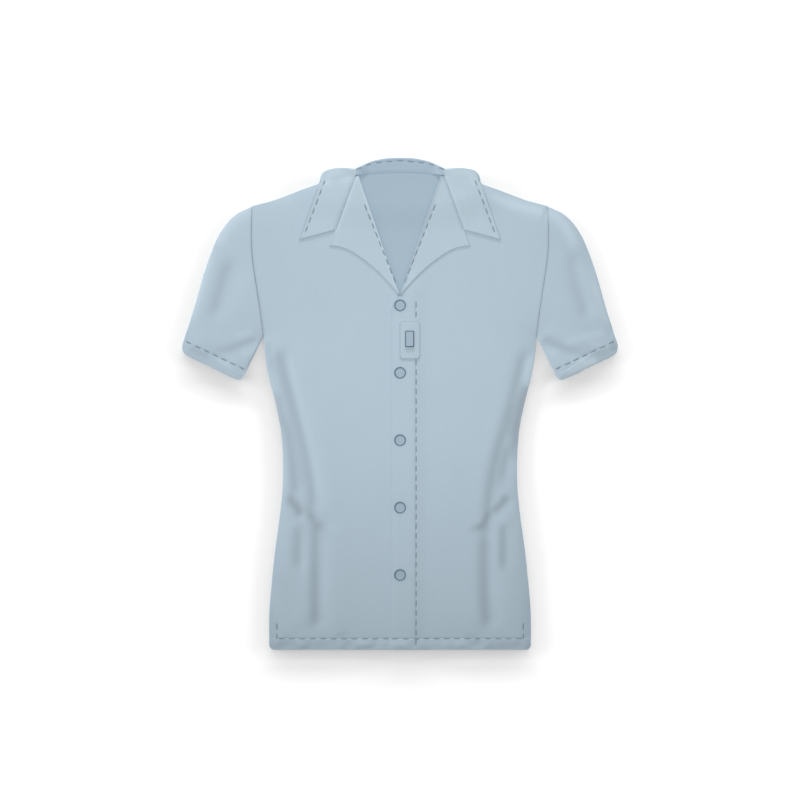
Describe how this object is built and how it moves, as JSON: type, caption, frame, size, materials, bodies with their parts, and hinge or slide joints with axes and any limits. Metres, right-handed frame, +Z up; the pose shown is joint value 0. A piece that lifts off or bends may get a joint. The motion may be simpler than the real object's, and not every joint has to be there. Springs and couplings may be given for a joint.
{
  "type": "camp collar shirt laid flat",
  "caption": "Short-sleeved camp collar shirt, buttoned and laid flat on its back, with open lapels and a small placket tab.",
  "frame": {"origin": "on the surface that the shirt lies on, under the middle of its outline", "axes": "+Z up off that surface, +Y from hem to collar, +X to the right as the front is seen"},
  "size_m": [0.6536, 0.7376, 0.0127],
  "materials": {
    "shirt_cloth": "fine plain weave, washed, matt",
    "collar_cloth": "the same cloth, pressed firm over interlining",
    "tab_cloth": "the same cloth, folded and pressed",
    "button": "dished, satin, dark edge",
    "stud": "satin, dark edge"
  },
  "bodies": {
    "root": {"back": "shirt_cloth", "right_front": "shirt_cloth", "left_front": "shirt_cloth", "right_sleeve": "shirt_cloth", "left_sleeve": "shirt_cloth", "collar": "collar_cloth", "right_lapel": "collar_cloth", "left_lapel": "collar_cloth", "placket_tab": "tab_cloth", "tab_stud": "stud", "button_1": "button", "button_2": "button", "button_3": "button", "button_4": "button", "button_5": "button"}
  },
  "joints": []
}
